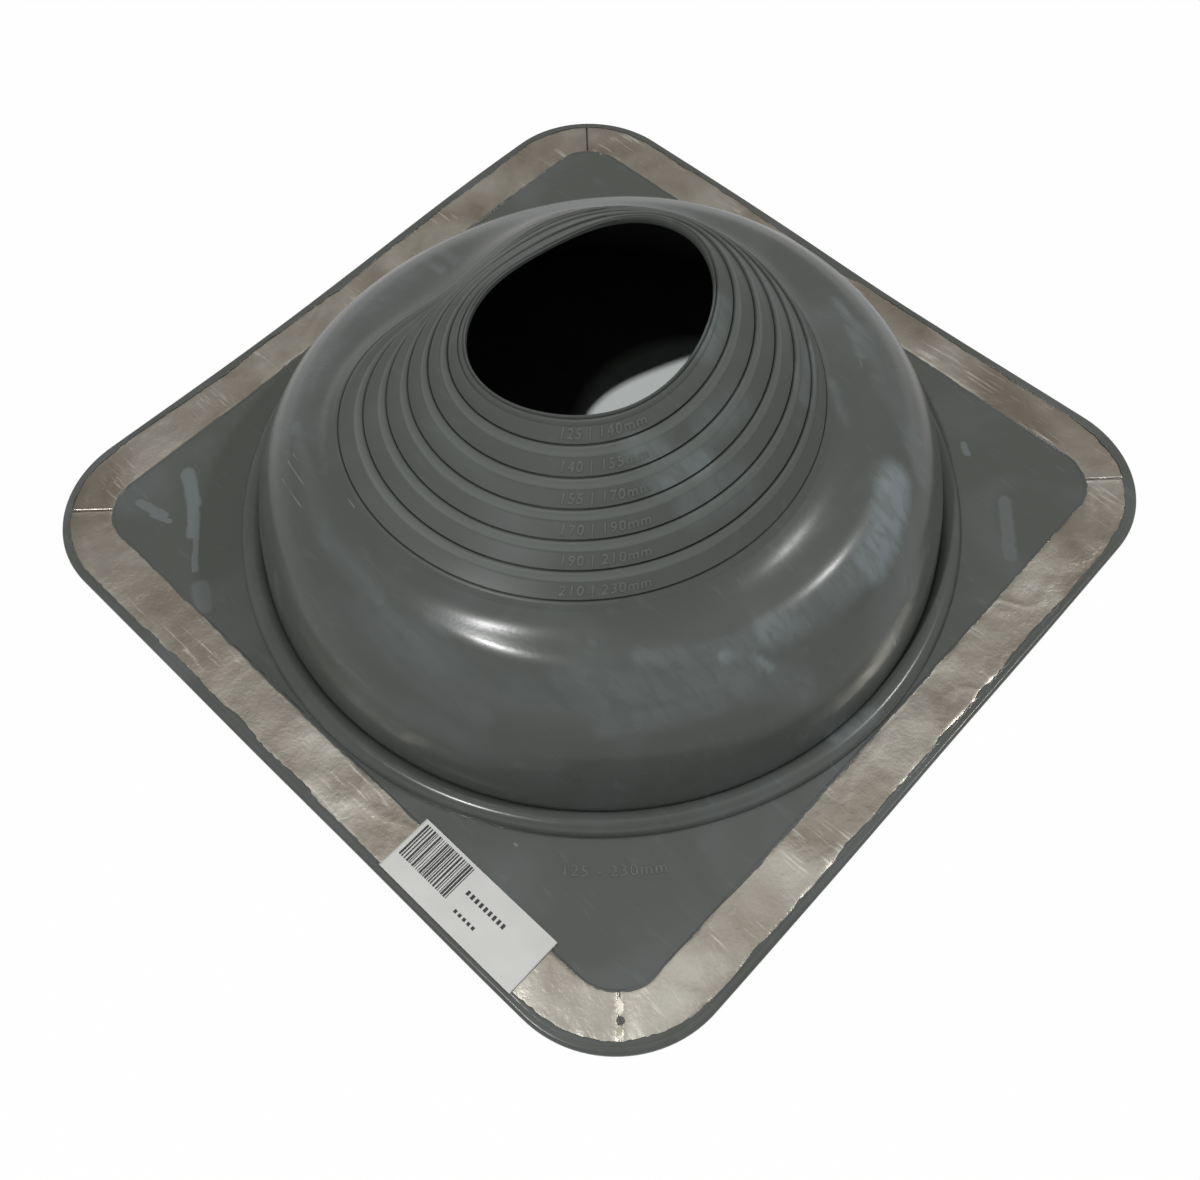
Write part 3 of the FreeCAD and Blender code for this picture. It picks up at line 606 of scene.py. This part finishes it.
# the brown patches are a painted reflection
painted_reflection_patches = add(tree, "MapRange", {"Value": cloud, "From Min": 0.36, "From Max": 0.62})
tone = add(tree, "Mix", {"Factor": painted_reflection_patches, "A": colour("#8f897f"), "B": colour("#b3b1a9")}, data_type="RGBA")
stretch = (scale_for(16.7), scale_for(1.43), scale_for(16.7))
way = add(tree, "Mapping", {"Vector": place, "Rotation": (0, 0, 0.35), "Scale": stretch})
rubbed = add(tree, "TexNoise", {"Vector": way, "Scale": 1.0, "Detail": 4.0})
patches = add(tree, "TexNoise", {"Vector": place, "Scale": scale_for(22.2), "Detail": 2.0})
scuff = add(tree, "MapRange", {"Value": rubbed, "From Min": 0.56, "From Max": 0.66, "To Max": 0.6})
where = add(tree, "MapRange", {"Value": patches, "From Min": 0.48, "From Max": 0.64})
scuff = add(tree, "Math", {0: scuff, 1: where}, operation="MULTIPLY")
tone = add(tree, "Mix", {"Factor": scuff, "A": tone, "B": colour("#e4e2dc")}, data_type="RGBA")
tree.links.new(tone, shader.inputs["Base Color"])
shader.inputs["Metallic"].default_value = 1.0
dull = add(tree, "MapRange", {"Value": cloud, "To Min": 0.24, "To Max": 0.42})
tree.links.new(dull, shader.inputs["Roughness"])
crumple = add(tree, "TexNoise", {"Vector": place, "Scale": scale_for(1.92), "Detail": 6.0,
                                 "Distortion": 0.4})
skin = add(tree, "Bump", {"Height": crumple, "Strength": 0.45, "Distance": 0.3 * MM})
tree.links.new(skin, shader.inputs["Normal"])

SIDES = (("front", 0, "left", "front"), ("right", 90, "front", "right"),
         ("rear", 180, "right", "rear"), ("left", 270, "rear", "left"))
for side, turn, first, last in SIDES:
    strip = edge_strip(side, turn, (MITRE_GAPS[first], MITRE_GAPS[last]))
    strip.data.materials.append(aluminium)
    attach(strip, "root")
    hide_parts("edge_strip_" + side)

# Rubber flash.
# Where the mould closed on the strips, a thin skin of the boot's rubber crept over their edges and tore
# off unevenly. One ragged skin runs round the outside of the strips and one round the inside.
FLASH_COLUMNS = 2000
# it creeps this far everywhere, more in long waves and short ones, and its edge is torn: all in mm
CREEP_LEAST = 0.45
LONG_WAVE, SHORT_WAVE = 36.0, 9.0
TORN, TORN_SIZE = 0.45, 2.2
# the skin's outline: share of its creep, mm further out, and height
FLASH_OUTLINE = ((0, -0.5, 3.6), (0, -0.35, 4.12), (0.5, 0, 4.3),
                 (0.93, 0, 4.26), (1, 0, 4.1), (0.9, 0, 3.7))


def flash(name, half, corner, inward, creep_most, seed):
    """A ragged skin of rubber round the strips: inward is -1 where it creeps in from outside, else 1."""
    angle = np.arange(FLASH_COLUMNS) * 2 * math.pi / FLASH_COLUMNS
    base = square_radius(angle, half, corner)
    x, y = base * np.cos(angle), base * np.sin(angle)
    creep = (CREEP_LEAST + 0.6 * creep_most * np.clip(rumple(x, y, SHORT_WAVE, seed) + 0.2, 0, 1)
             + TORN * np.clip(rumple(x, y, TORN_SIZE, seed + 1), -0.3, 1)
             + creep_most * np.clip(rumple(x, y, LONG_WAVE, seed + 2) + 0.1, 0, 1))
    rows = []
    for share, out, height in FLASH_OUTLINE:
        radius = base + inward * (out + share * creep)
        rows.append(settle(np.column_stack([radius * np.cos(angle), radius * np.sin(angle),
                                            np.full(FLASH_COLUMNS, height)])))
    piece = grid_mesh(name, rows, True, True, sharp=60)
    piece.data.materials.append(rubber)
    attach(piece, "root")


flash("rubber_flash_outer", STRIP_OUTER, STRIP_OUTER_CORNER, -1, 1.5, 11)
flash("rubber_flash_inner", STRIP_INNER, STRIP_INNER_CORNER, 1, 0.9, 21)

# Corner sealant.
# The front mitre is closed with two beads of clear sealant, with the stub of a mould vent between them.
MITRE_INSIDE = 215.2
MITRE_OUTSIDE = 233.0
# each bead's place along the mitre, its length and its half width; between them a thin film
BEADS = ((220.3, 3.0, 1.6), (229.4, 2.6, 1.2))
FILM = 0.32
STUB_AT = 225.2
# the stub's outline, from its foot over its crater: radius and height
STUB = ((1.5, 3.6), (1.55, 4.5), (1.45, 4.95), (1.1, 5.15), (0.75, 5.1), (0.5, 4.8))
FRONT = math.radians(-45)


def along_mitre(along, aside, height):
    """A place by the front mitre: distance from the boot's middle, sideways step and height."""
    x = along * math.cos(FRONT) - aside * math.sin(FRONT)
    y = along * math.sin(FRONT) + aside * math.cos(FRONT)
    return settle(np.column_stack([x, y, np.broadcast_to(height, x.shape)]))


turns = np.radians(np.arange(16) * 22.5)
rows = []
for along in np.linspace(MITRE_INSIDE, MITRE_OUTSIDE, 64):
    swell = sum(width * math.exp(-((along - middle) / length * 1.25) ** 4)
                for middle, length, width in BEADS)
    wide = FILM + swell * (1 + 0.12 * math.sin(along * 2.9))
    high = 0.2 + 0.3 * swell
    rows.append(along_mitre(along + 0 * turns, wide * np.cos(turns) + 0.15 * math.sin(along * 1.3),
                            FLANGE_TOP + 0.02 + high * np.sin(turns)))
sealant_bead = grid_mesh("corner_sealant", rows, False, True, sharp=60)
close_ends(sealant_bead.data)
# silicone sealant: milky and glossy, with darker specks of dirt
sealant, tree, shader = new_material("clear_silicone_sealant")
place = add(tree, "TexCoord", output="Object")
specks = add(tree, "TexNoise", {"Vector": place, "Scale": scale_for(2.0), "Detail": 2.0})
dirt = add(tree, "MapRange", {"Value": specks, "From Min": 0.4, "From Max": 0.6})
tone = add(tree, "Mix", {"Factor": dirt, "A": colour("#aaa592"), "B": colour("#e2dfd2")}, data_type="RGBA")
tree.links.new(tone, shader.inputs["Base Color"])
shader.inputs["Roughness"].default_value = 0.15
shader.inputs["IOR"].default_value = 1.41
sealant_bead.data.materials.append(sealant)
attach(sealant_bead, "root")

rows = [along_mitre(STUB_AT + size * np.cos(turns), 0.3 + size * np.sin(turns), height)
        for size, height in STUB]
stub = grid_mesh("vent_stub", rows, False, True, sharp=60)
close_ends(stub.data)
stub.data.materials.append(rubber)
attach(stub, "root")

# Pipe sizes.
# Numbers raised on the bands by the mould, in mm: each band is cut along its crease for the pipes that
# it names. A last line on the flange gives the whole range.
BAND_TEXT_HEIGHT = 4.0
FLANGE_TEXT_HEIGHT = 4.8
TEXT_PROUD = 0.34
TEXT_SUNK = 0.2
TEXT_BEVEL = 0.12
TEXT_DOWN = -4.4
TEXT_HEADING = -42.75
FLANGE_TEXT_RADIUS = 170.0
# a font's size for each mm of its digits' height
SIZE_PER_DIGIT = 1.37


def text_mesh(words, height, depth):
    """Solid letters lying flat: a mesh whose middle is at the origin, in mm."""
    curve = bpy.data.curves.new("letters", "FONT")
    curve.body = words
    curve.size = height * SIZE_PER_DIGIT
    curve.align_x = "CENTER"
    curve.align_y = "CENTER"
    curve.space_character = 1.15
    curve.bevel_depth = TEXT_BEVEL
    curve.bevel_resolution = 1
    curve.extrude = depth / 2 - curve.bevel_depth
    curve.resolution_u = 3
    letters = bpy.data.objects.new("letters", curve)
    bpy.context.scene.collection.objects.link(letters)
    bpy.context.view_layer.update()
    mesh = bpy.data.meshes.new_from_object(letters.evaluated_get(bpy.context.evaluated_depsgraph_get()))
    bpy.data.objects.remove(letters)
    work = bmesh.new()
    work.from_mesh(mesh)
    bmesh.ops.remove_doubles(work, verts=work.verts, dist=0.001)
    work.to_mesh(mesh)
    work.free()
    return mesh


def raised_words(name, words, height, bend):
    """Letters of the boot's own rubber, bent onto its skin by a function of along, up and proud."""
    mesh = text_mesh(words, height, TEXT_PROUD + TEXT_SUNK)
    flat = np.array([v.co for v in mesh.vertices])
    flat[:, 2] += (TEXT_PROUD - TEXT_SUNK) / 2
    # the letters' tops are painted a little pale: partly rubbing, partly a painted highlight where they
    # catch the light
    rubbed = np.where(flat[:, 2] > TEXT_PROUD * 0.6, 0.3, 0.0)
    mesh.attributes.new("painted_light_and_wear", "FLOAT", "POINT").data.foreach_set("value", rubbed)
    for vertex, spot in zip(mesh.vertices, bend(flat[:, 0], flat[:, 1], flat[:, 2]) * MM):
        vertex.co = spot
    piece = finish_mesh(name, mesh, 30)
    piece.data.materials.clear()
    piece.data.materials.append(rubber)
    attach(piece, "root")
    return piece


def on_neck(band):
    """Bend for words that stand on a band of the neck."""
    middle = NECK_FOOT_RADIUS - BAND_STEP * band + TEXT_DOWN * math.cos(SLOPE)
    start = math.radians(TEXT_HEADING + 0.4 * (BAND_COUNT - 1 - band))

    def bend(along, up, proud):
        radius, rise = on_band(band, TEXT_DOWN - up, proud)
        return neck_point(start + along / middle, radius, rise)
    return bend


def on_flange(along, up, proud):
    """Bend for words that lie on the flange's front corner."""
    radius = FLANGE_TEXT_RADIUS - up
    angle = FRONT + along / FLANGE_TEXT_RADIUS
    return settle(np.column_stack([radius * np.cos(angle), radius * np.sin(angle), FLANGE_TOP + proud]))


BAND_SIZES = ("210 | 230mm", "190 | 210mm", "170 | 190mm", "155 | 170mm", "140 | 155mm", "125 | 140mm")
for band, words in enumerate(BAND_SIZES):
    raised_words("band_size_%d" % (band + 1), words, BAND_TEXT_HEIGHT, on_neck(band))
raised_words("flange_size", "125 - 230mm", FLANGE_TEXT_HEIGHT, on_flange)

# Label.
# A white paper label, printed with plain bars and stuck over the front strip and a little of the rubber
# inside it. It bridges the strip's dents.
label_low, label_high = box_in_mm("label")
LABEL_START, LABEL_EDGE = label_low[:2]
LABEL_END, LABEL_INNER_EDGE, LABEL_TOP = label_high
LABEL_WIDTH = LABEL_INNER_EDGE - LABEL_EDGE
LABEL_LIFT = 0.6
PAPER = 0.18


def on_label(x, v, proud):
    """A place on the label, v mm in from its outer long edge, proud of the paper by so much."""
    lift = LABEL_LIFT + 0.12 * np.sin(x * 0.3) * np.sin(v * 0.25) + 0.1 * np.cos(x * 0.13 + v * 0.2)
    return settle(np.column_stack([x, LABEL_EDGE + v, LABEL_TOP + lift + proud]))


LABEL_COLUMNS, LABEL_ROWS = 71, 26
x = np.linspace(LABEL_START, LABEL_END, LABEL_COLUMNS)
steps = [np.full(LABEL_COLUMNS, v) for v in np.linspace(0, LABEL_WIDTH, LABEL_ROWS)]
top = [on_label(x, v, 0.0) for v in steps]
bottom = [on_label(x, v, -PAPER) for v in steps]
label = grid_mesh("paper_label", top + bottom[::-1], True, False, sharp=40)
close_ends(label.data)

# coated paper: white, smooth, a little grey. Its fibres are too fine to show, and a broad mottle stands
# for them
paper, tree, shader = new_material("coated_label_paper")
place = add(tree, "TexCoord", output="Object")
mottle = add(tree, "TexNoise", {"Vector": place, "Scale": scale_for(16.7), "Detail": 3.0})
tone = add(tree, "Mix", {"Factor": mottle, "A": colour("#b6b7b5"), "B": colour("#c6c7c5")}, data_type="RGBA")
tree.links.new(tone, shader.inputs["Base Color"])
shader.inputs["Roughness"].default_value = 0.45
label.data.materials.append(paper)
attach(label, "root")
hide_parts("label")

# plain bars of no meaning and two rows of dashes, printed in black. Bars and rows are given by where they
# start and end along the label and across it, in mm
INK_PROUD = 0.05
INK_SUNK = 0.01
BARS_FROM, BARS_TO = 55.5, 81.0
BARS_IN, BARS_OUT = 8.2, 23.6
BAR_WIDTHS, BAR_GAPS = (0.35, 0.35, 0.6, 0.9), (0.35, 0.45, 0.7)
DASHES = ((85.5, 104.0, 14.6, 16.6), (87.0, 98.0, 6.8, 8.2))
DASH, DASH_PITCH = 1.3, 2.3
draws = np.random.default_rng(7)
inked = []
x = BARS_FROM
while x < BARS_TO:
    wide = draws.choice(BAR_WIDTHS)
    inked.append((x, x + wide, BARS_IN, BARS_OUT))
    x += wide + draws.choice(BAR_GAPS)
for left, right, low, high in DASHES:
    inked += [(x, x + DASH, low, high) for x in np.arange(left, right, DASH_PITCH)]
# each is a flat tube of four lines of points that follow the paper, closed at both ends
ALONG = 9
corners, faces = [], []
for left, right, low, high in inked:
    first = ALONG * len(corners)
    v = np.linspace(low, high, ALONG)
    for x, proud in ((left, -INK_SUNK), (left, INK_PROUD), (right, INK_PROUD), (right, -INK_SUNK)):
        corners.append(on_label(np.full(ALONG, x), v, proud))
    for j in range(ALONG - 1):
        for side in range(4):
            k = first + ALONG * side + j
            m = first + ALONG * ((side + 1) % 4) + j
            faces.append((k, m, m + 1, k + 1))
    faces.append(tuple(first + ALONG * side for side in (3, 2, 1, 0)))
    faces.append(tuple(first + ALONG * (side + 1) - 1 for side in range(4)))
mesh = bpy.data.meshes.new("label_print")
mesh.from_pydata((np.vstack(corners) * MM).tolist(), [], faces)
label_print = finish_mesh("label_print", mesh, 30)
# printing ink: black, a little grey where it is thin
ink, tree, shader = new_material("printed_black_ink")
place = add(tree, "TexCoord", output="Object")
thin = add(tree, "TexNoise", {"Vector": place, "Scale": scale_for(2.5), "Detail": 2.0})
tone = add(tree, "Mix", {"Factor": thin, "A": colour("#141416"), "B": colour("#2e2e30")}, data_type="RGBA")
tree.links.new(tone, shader.inputs["Base Color"])
shader.inputs["Roughness"].default_value = 0.5
label_print.data.materials.append(ink)
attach(label_print, "root")

# Floor, light and camera.
# A white floor that keeps the boot's shadow, painted dark under the dome as painted shade, with a painted
# pool of light there; soft light from all round, a key lamp at the left of the picture and a weaker one at
# the right, and a camera that looks down over the flange's front corner.
floor_mesh = bpy.data.meshes.new("floor")
reach, level = 6.0, -0.3 * MM
floor_mesh.from_pydata([(-reach, -reach, level), (reach, -reach, level), (reach, reach, level),
                        (-reach, reach, level)], [], [(0, 1, 2, 3)])
floor = bpy.data.objects.new("floor", floor_mesh)
bpy.context.scene.collection.objects.link(floor)
# painted board, matt. Round the boot it is mid grey, so that it throws little light on it, but the camera
# sees it white, and metal and gloss see it two thirds so. Under the dome it is painted dark, a painted shade
# that keeps the hole black, and pale in a disc where the key lamp shines down through the neck, a painted
# pool of light
SEEN_IN_GLOSS = 0.65
UNDER_DOME, PAST_DOME = 146 * MM, 150 * MM
PAINTED_LIGHT_DISC_AT = (8 * MM, 56 * MM, 0)
PAINTED_LIGHT_DISC, PAST_PAINTED_LIGHT_DISC = 52 * MM, 60 * MM
floor_white, tree, shader = new_material("matt_white_board")
shader.inputs["Roughness"].default_value = 0.9
rays = add(tree, "LightPath", output="Is Camera Ray")
for kind in ("Is Glossy Ray", "Is Transmission Ray"):
    ray = add(tree, "LightPath", output=kind)
    rays = add(tree, "Math", {0: ray, 1: SEEN_IN_GLOSS, 2: rays}, operation="MULTIPLY_ADD", use_clamp=True)
place = add(tree, "TexCoord", output="Object")
distance = add(tree, "VectorMath", {0: place}, output="Value", operation="LENGTH")
outside = add(tree, "MapRange", {"Value": distance, "From Min": UNDER_DOME, "From Max": PAST_DOME,
                                 "To Max": 0.95})
off_painted_light_disc = add(tree, "VectorMath", {0: place, 1: PAINTED_LIGHT_DISC_AT}, output="Value", operation="DISTANCE")
off_painted_light_disc = add(tree, "MapRange", {"Value": off_painted_light_disc, "From Min": PAINTED_LIGHT_DISC, "From Max": PAST_PAINTED_LIGHT_DISC})
# the dark grey under the dome is painted shade, and the pale disc a painted pool of the key lamp's light
tone = add(tree, "Mix", {"Factor": off_painted_light_disc, "A": colour("#eaf0ee"), "B": colour("#606060")}, data_type="RGBA")
tone = add(tree, "Mix", {"Factor": outside, "A": tone, "B": colour("#8a8b8a")}, data_type="RGBA")
tree.links.new(tone, shader.inputs["Base Color"])
seen = add(tree, "Math", {0: rays, 1: outside}, operation="MULTIPLY")
glow = add(tree, "Emission", {"Color": (1, 1, 1, 1), "Strength": 1.03})
mixed = add(tree, "MixShader", {0: seen, 1: shader.outputs["BSDF"], 2: glow})
tree.links.new(mixed, tree.nodes["Material Output"].inputs["Surface"])
floor_mesh.materials.append(floor_white)

# the studio: pale near the horizon, most of all in front, mid grey above, with a mottled paler patch behind
# the boot and a bright one overhead for the strips to mirror, and a dark patch above the camera that keeps
# the hole black
world = bpy.data.worlds.new("studio")
bpy.context.scene.world = world
world.use_nodes = True
tree = world.node_tree


def toward(azimuth, elevation):
    """A direction, from its angles in degrees."""
    a, e = math.radians(azimuth), math.radians(elevation)
    return Vector((math.cos(e) * math.cos(a), math.cos(e) * math.sin(a), math.sin(e)))


way = add(tree, "TexCoord", output="Generated")
high = add(tree, "VectorMath", {0: way, 1: (0, 0, 1)}, output="Value", operation="DOT_PRODUCT")
cloud = add(tree, "TexNoise", {"Vector": way, "Scale": 4.0, "Detail": 3.0})
patch = add(tree, "MapRange", {"Value": cloud, "From Min": 0.4, "From Max": 0.6})
pale = add(tree, "Mix", {"Factor": patch, "A": (0.30, 0.26, 0.23, 1), "B": (0.66, 0.64, 0.60, 1)},
           data_type="RGBA")
dark, bright = (0.06, 0.06, 0.06, 1), (1.15, 1.13, 1.1, 1)
light = (0.34, 0.34, 0.34, 1)
# azimuth and elevation of each patch, and how far from its middle it ends and is full, in degrees
PATCHES = ((134, 60, 50, 30, pale), (134, 82, 24, 8, bright), (-46, 60, 42, 26, dark))
for azimuth, elevation, ends, full, shade in PATCHES:
    facing = add(tree, "VectorMath", {0: way, 1: toward(azimuth, elevation)}, output="Value",
                 operation="DOT_PRODUCT")
    spot = add(tree, "MapRange", {"Value": facing, "From Min": math.cos(math.radians(ends)),
                                  "From Max": math.cos(math.radians(full))},
               interpolation_type="SMOOTHSTEP")
    light = add(tree, "Mix", {"Factor": spot, "A": light, "B": shade}, data_type="RGBA")
horizon = add(tree, "MapRange", {"Value": high, "From Min": math.sin(math.radians(18)),
                                 "From Max": math.sin(math.radians(36)), "To Min": 1, "To Max": 0})
front = add(tree, "VectorMath", {0: way, 1: toward(-46, 10)}, output="Value", operation="DOT_PRODUCT")
window = add(tree, "MapRange", {"Value": front, "From Min": 0.2, "From Max": 0.75,
                                "To Min": 0.4, "To Max": 0.85})
light = add(tree, "Mix", {"Factor": horizon, "A": light, "B": window}, data_type="RGBA")
# past the floor's edge the camera sees plain white
seen = add(tree, "LightPath", output="Is Camera Ray")
light = add(tree, "Mix", {"Factor": seen, "A": light, "B": (1, 1, 1, 1)}, data_type="RGBA")
tree.links.new(light, tree.nodes["Background"].inputs["Color"])


def lamp(name, azimuth, elevation, distance, width, watts):
    """A square soft lamp aimed at the boot, placed by its direction from it."""
    data = bpy.data.lights.new(name, "AREA")
    data.size = width
    data.energy = watts
    way = toward(azimuth, elevation)
    turned = way.to_track_quat("Z", "Y").to_matrix().to_4x4()
    made = bpy.data.objects.new(name, data)
    made.matrix_world = Matrix.Translation(way * distance) @ turned
    bpy.context.scene.collection.objects.link(made)


lamp("key", 262, 65, 2.2, 0.06, 25.0)
lamp("fill", 48, 52, 2.2, 0.12, 14.0)

# the camera's place, aim, roll and lens, worked out from the flange's outline
CAMERA_PLACE = Vector((0.2215, -0.2288, 0.4854))
CAMERA_AIM = Vector((0.0312, -0.0334, 0.0))
CAMERA_ROLL = math.radians(-1.16)
CAMERA_LENS = 39.18
ahead = (CAMERA_AIM - CAMERA_PLACE).normalized()
level_right = ahead.cross(Vector((0, 0, 1))).normalized()
level_up = level_right.cross(ahead)
right = level_right * math.cos(CAMERA_ROLL) + level_up * math.sin(CAMERA_ROLL)
up = right.cross(ahead)
turn = Matrix((right, up, -ahead)).transposed()
camera_data = bpy.data.cameras.new("camera")
camera_data.lens = CAMERA_LENS
camera_data.sensor_fit = "HORIZONTAL"
camera_data.sensor_width = 36.0
camera_data.clip_start = 0.01
camera = bpy.data.objects.new("camera", camera_data)
camera.matrix_world = Matrix.Translation(CAMERA_PLACE) @ turn.to_4x4()
bpy.context.scene.collection.objects.link(camera)
bpy.context.scene.camera = camera
bpy.context.scene.view_settings.view_transform = "Standard"
